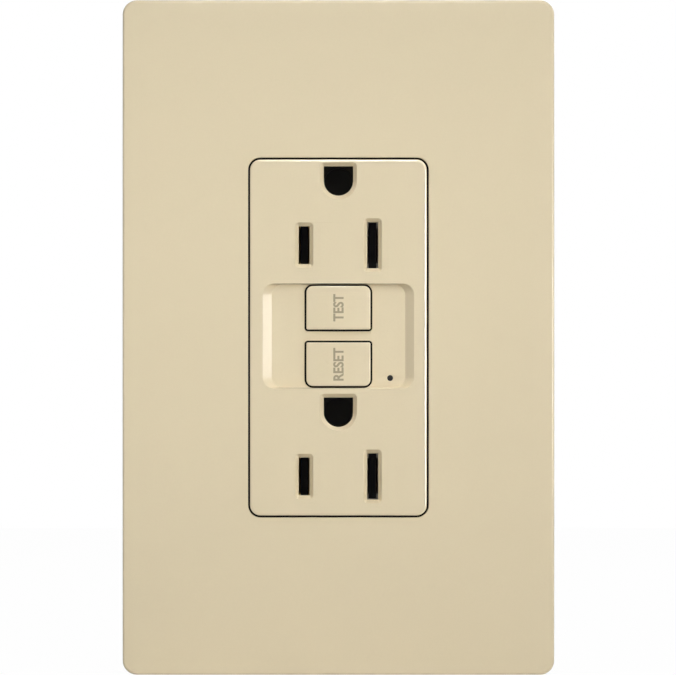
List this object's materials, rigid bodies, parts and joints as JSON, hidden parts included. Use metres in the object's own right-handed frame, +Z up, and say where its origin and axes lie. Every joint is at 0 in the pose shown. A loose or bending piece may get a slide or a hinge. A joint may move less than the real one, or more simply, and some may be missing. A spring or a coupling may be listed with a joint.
{
  "type": "gfci outlet",
  "caption": "Ground-fault receptacle with test and reset buttons in a screwless clip-on wall plate, with mounting strap, clamp-plate wire terminals and a latching trip mechanism inside.",
  "frame": {"origin": "middle of the device on the wall surface, halfway between the two wall box screws", "axes": "+X to the viewer's right, +Y back into the wall, +Z up with the ground holes above the blade slots"},
  "size_m": [0.08, 0.0353, 0.125],
  "materials": {
    "ivory_plastic": "satin moulded ivory",
    "frame_plastic": "matte moulded grey",
    "carrier_plastic": "matte moulded dark grey",
    "body_plastic": "matte moulded black",
    "natural_plastic": "moulded natural white",
    "clear_plastic": "clear polished",
    "zinc_steel": "zinc plated",
    "spring_steel": "drawn wire",
    "nickel": "nickel plated",
    "brass": "stamped brass",
    "copper": "stamped copper alloy",
    "enamelled_wire": "enamelled copper wire",
    "green_steel": "green chromate",
    "board": "solder mask",
    "lamp_red": "tinted clear",
    "varistor_blue": "dipped epoxy",
    "sleeve_blue": "shrink sleeve",
    "capacitor_ochre": "moulded box",
    "component_black": "moulded epoxy",
    "resistor_tan": "lacquer"
  },
  "bodies": {
    "base": {"wallplate_frame": "frame_plastic", "wallplate_screws": "zinc_steel", "face_cover": "ivory_plastic", "indicator_light_pipe": "clear_plastic", "mounting_strap": "zinc_steel", "mounting_screws": "zinc_steel", "ground_contacts": "brass", "contact_carrier": "carrier_plastic", "rear_housing": "body_plastic", "assembly_screws": "zinc_steel", "load_hot_bus": "brass", "load_neutral_bus": "nickel", "line_hot_terminal": "brass", "line_neutral_terminal": "nickel", "line_hot_conductor": "copper", "line_neutral_conductor": "copper", "reset_spring": "spring_steel", "test_spring": "spring_steel", "test_contact": "brass", "solenoid_yoke": "zinc_steel", "solenoid_bobbin": "natural_plastic", "solenoid_winding": "enamelled_wire", "plunger_spring": "spring_steel", "fault_sensing_ring": "enamelled_wire", "neutral_sensing_ring": "enamelled_wire", "circuit_board": "board", "indicator_lamp": "lamp_red", "surge_varistor": "varistor_blue", "supply_capacitor": "sleeve_blue", "filter_capacitor": "capacitor_ochre", "trip_thyristor": "component_black", "control_chip": "component_black", "test_resistor": "resistor_tan", "bridge_diodes": "component_black"},
    "cover": {"wallplate_cover": "ivory_plastic"},
    "test": {"test_button": "ivory_plastic"},
    "reset": {"reset_button": "ivory_plastic", "reset_pin": "nickel"},
    "lifter": {"contact_lifter": "natural_plastic"},
    "latch": {"latch_plate": "nickel"},
    "hot_arm": {"hot_contact_arm": "copper"},
    "neutral_arm": {"neutral_contact_arm": "copper"},
    "plunger": {"solenoid_plunger": "nickel"},
    "load_hot_clamp": {"load_hot_clamp": "brass"},
    "load_neutral_clamp": {"load_neutral_clamp": "nickel"},
    "line_hot_clamp": {"line_hot_clamp": "brass"},
    "line_neutral_clamp": {"line_neutral_clamp": "nickel"},
    "ground_clamp": {"ground_clamp_plate": "zinc_steel"},
    "load_hot_screw": {"load_hot_screw": "brass"},
    "load_neutral_screw": {"load_neutral_screw": "nickel"},
    "line_hot_screw": {"line_hot_screw": "brass"},
    "line_neutral_screw": {"line_neutral_screw": "nickel"},
    "ground_screw": {"ground_screw": "green_steel"}
  },
  "joints": [
    {"name": "cover_pull", "type": "slide", "parent": "base", "child": "cover", "axis": [0, -1, 0], "range_m": [0, 0.025]},
    {"name": "test_press", "type": "slide", "parent": "base", "child": "test", "axis": [0, 1, 0], "range_m": [0, 0.0016], "stiffness_N_per_m": 1000, "springref_m": -0.002, "deforming": ["test_spring"]},
    {"name": "reset_press", "type": "slide", "parent": "base", "child": "reset", "axis": [0, 1, 0], "range_m": [0, 0.002], "stiffness_N_per_m": 1000, "springref_m": -0.002, "deforming": ["reset_spring"]},
    {"name": "lifter_drop", "type": "slide", "parent": "base", "child": "lifter", "axis": [0, 1, 0], "range_m": [0, 0.002]},
    {"name": "latch_slide", "type": "slide", "parent": "lifter", "child": "latch", "axis": [0, 0, -1], "range_m": [0, 0.0012]},
    {"name": "hot_arm_flex", "type": "hinge", "parent": "base", "child": "hot_arm", "pos_m": [-0.0063, 0.01535, -0.0246], "axis": [-1, 0, 0], "range_deg": [0, 5.6]},
    {"name": "neutral_arm_flex", "type": "hinge", "parent": "base", "child": "neutral_arm", "pos_m": [0.0063, 0.01535, -0.0246], "axis": [-1, 0, 0], "range_deg": [0, 5.6]},
    {"name": "plunger_stroke", "type": "slide", "parent": "base", "child": "plunger", "axis": [0, 0, -1], "range_m": [0, 0.0012], "stiffness_N_per_m": 80, "springref_m": -0.004, "deforming": ["plunger_spring"]},
    {"name": "load_hot_clamp_slide", "type": "slide", "parent": "base", "child": "load_hot_clamp", "axis": [1, 0, 0], "range_m": [0, 0.0019]},
    {"name": "load_neutral_clamp_slide", "type": "slide", "parent": "base", "child": "load_neutral_clamp", "axis": [-1, 0, 0], "range_m": [0, 0.0019]},
    {"name": "line_hot_clamp_slide", "type": "slide", "parent": "base", "child": "line_hot_clamp", "axis": [1, 0, 0], "range_m": [0, 0.0019]},
    {"name": "line_neutral_clamp_slide", "type": "slide", "parent": "base", "child": "line_neutral_clamp", "axis": [-1, 0, 0], "range_m": [0, 0.0019]},
    {"name": "ground_clamp_slide", "type": "slide", "parent": "base", "child": "ground_clamp", "axis": [-1, 0, 0], "range_m": [0, 0.0019]},
    {"name": "load_hot_screw_turn", "type": "hinge", "parent": "load_hot_clamp", "child": "load_hot_screw", "pos_m": [-0.01915, 0.0169, 0.012], "axis": [1, 0, 0], "range_deg": [0, 862]},
    {"name": "load_neutral_screw_turn", "type": "hinge", "parent": "load_neutral_clamp", "child": "load_neutral_screw", "pos_m": [0.01915, 0.0169, 0.012], "axis": [-1, 0, 0], "range_deg": [0, 862]},
    {"name": "line_hot_screw_turn", "type": "hinge", "parent": "line_hot_clamp", "child": "line_hot_screw", "pos_m": [-0.01915, 0.0169, -0.012], "axis": [1, 0, 0], "range_deg": [0, 862]},
    {"name": "line_neutral_screw_turn", "type": "hinge", "parent": "line_neutral_clamp", "child": "line_neutral_screw", "pos_m": [0.01915, 0.0169, -0.012], "axis": [-1, 0, 0], "range_deg": [0, 862]},
    {"name": "ground_screw_turn", "type": "hinge", "parent": "ground_clamp", "child": "ground_screw", "pos_m": [0.01245, 0.0055, 0.0384], "axis": [-1, 0, 0], "range_deg": [0, 862]}
  ],
  "couplings": [
    {"joint": "lifter_drop", "follows": "reset_press", "ratio": 1},
    {"joint": "hot_arm_flex", "follows": "reset_press", "rad_per_m": 48},
    {"joint": "neutral_arm_flex", "follows": "reset_press", "rad_per_m": 48},
    {"joint": "latch_slide", "follows": "plunger_stroke", "ratio": 1},
    {"joint": "load_hot_screw_turn", "follows": "load_hot_clamp_slide", "rad_per_m": 7913.3},
    {"joint": "load_neutral_screw_turn", "follows": "load_neutral_clamp_slide", "rad_per_m": 7913.3},
    {"joint": "line_hot_screw_turn", "follows": "line_hot_clamp_slide", "rad_per_m": 7913.3},
    {"joint": "line_neutral_screw_turn", "follows": "line_neutral_clamp_slide", "rad_per_m": 7913.3},
    {"joint": "ground_screw_turn", "follows": "ground_clamp_slide", "rad_per_m": 7913.3}
  ]
}
